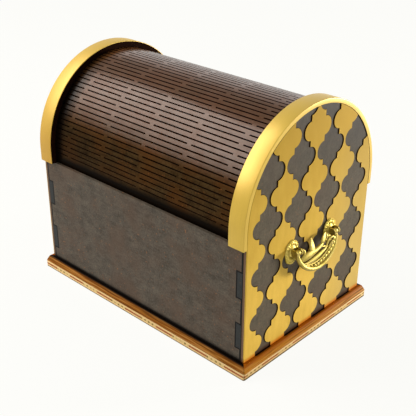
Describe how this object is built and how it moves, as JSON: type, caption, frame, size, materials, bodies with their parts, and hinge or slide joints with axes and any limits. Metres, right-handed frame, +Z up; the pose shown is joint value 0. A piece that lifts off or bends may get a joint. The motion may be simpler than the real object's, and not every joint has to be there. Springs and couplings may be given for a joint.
{
  "type": "wooden puzzle box",
  "caption": "Domed wooden puzzle box with a lattice-hinge roll-top lid in arched end hoops, arabesque end panels, a bevelled plywood base and brass drop handles.",
  "frame": {"origin": "centre of the base board's underside, on the surface that the box stands on", "axes": "+X along the box towards the handle end that the picture shows, +Z up, and the front panel faces -Y"},
  "size_m": [0.2206, 0.1392, 0.1713],
  "materials": {
    "base_plywood": "stained plywood, satin",
    "panel_wood": "dark stain, matt",
    "tray_wood": "dark stain, matt",
    "lid_wood": "dark stain, satin",
    "dowel_wood": "bare beech",
    "face_wood": "dark stain, matt",
    "gold_veneer": "gold paint, satin",
    "hoop_wood": "gold paint, satin, with a dark inner edge",
    "pin_steel": "ground",
    "handle_brass": "cast and polished"
  },
  "bodies": {
    "box": {"base_board": "base_plywood", "front_panel": "panel_wood", "back_panel": "panel_wood", "tray_floor": "tray_wood", "tray_front": "tray_wood", "tray_back": "tray_wood", "closed_stop_dowels": "dowel_wood", "open_stop_dowels": "dowel_wood", "right_end_panel": "panel_wood", "left_end_panel": "panel_wood", "right_face_panel": "face_wood", "left_face_panel": "face_wood", "right_gold_fret": "gold_veneer", "left_gold_fret": "gold_veneer", "right_arch_hoop": "hoop_wood", "left_arch_hoop": "hoop_wood", "right_hub_disc": "tray_wood", "left_hub_disc": "tray_wood", "right_track_cradle": "tray_wood", "left_track_cradle": "tray_wood", "right_rosettes": "handle_brass", "left_rosettes": "handle_brass", "right_handle_posts": "handle_brass", "left_handle_posts": "handle_brass", "right_hinge_pins": "handle_brass", "left_hinge_pins": "handle_brass"},
    "lid": {"lid_sheet": "lid_wood", "lid_lead_rail": "tray_wood", "lid_tail_rail": "tray_wood"},
    "right_handle": {"right_bail": "handle_brass"},
    "left_handle": {"left_bail": "handle_brass"},
    "right_lock": {"right_lock_pin": "pin_steel"},
    "left_lock": {"left_lock_pin": "pin_steel"}
  },
  "joints": [
    {"name": "lid_roll", "type": "hinge", "parent": "box", "child": "lid", "pos_m": [0, 0, 0.1033], "axis": [-1, 0, 0], "range_deg": [0, 100]},
    {"name": "right_bail_swing", "type": "hinge", "parent": "box", "child": "right_handle", "pos_m": [0.105, 0, 0.0755], "axis": [0, -1, 0], "range_deg": [0, 115]},
    {"name": "left_bail_swing", "type": "hinge", "parent": "box", "child": "left_handle", "pos_m": [-0.105, 0, 0.0755], "axis": [0, 1, 0], "range_deg": [0, 115]},
    {"name": "right_lock_slide", "type": "slide", "parent": "box", "child": "right_lock", "axis": [-1, 0, 0], "range_m": [0, 0.006]},
    {"name": "left_lock_slide", "type": "slide", "parent": "box", "child": "left_lock", "axis": [1, 0, 0], "range_m": [0, 0.006]}
  ]
}
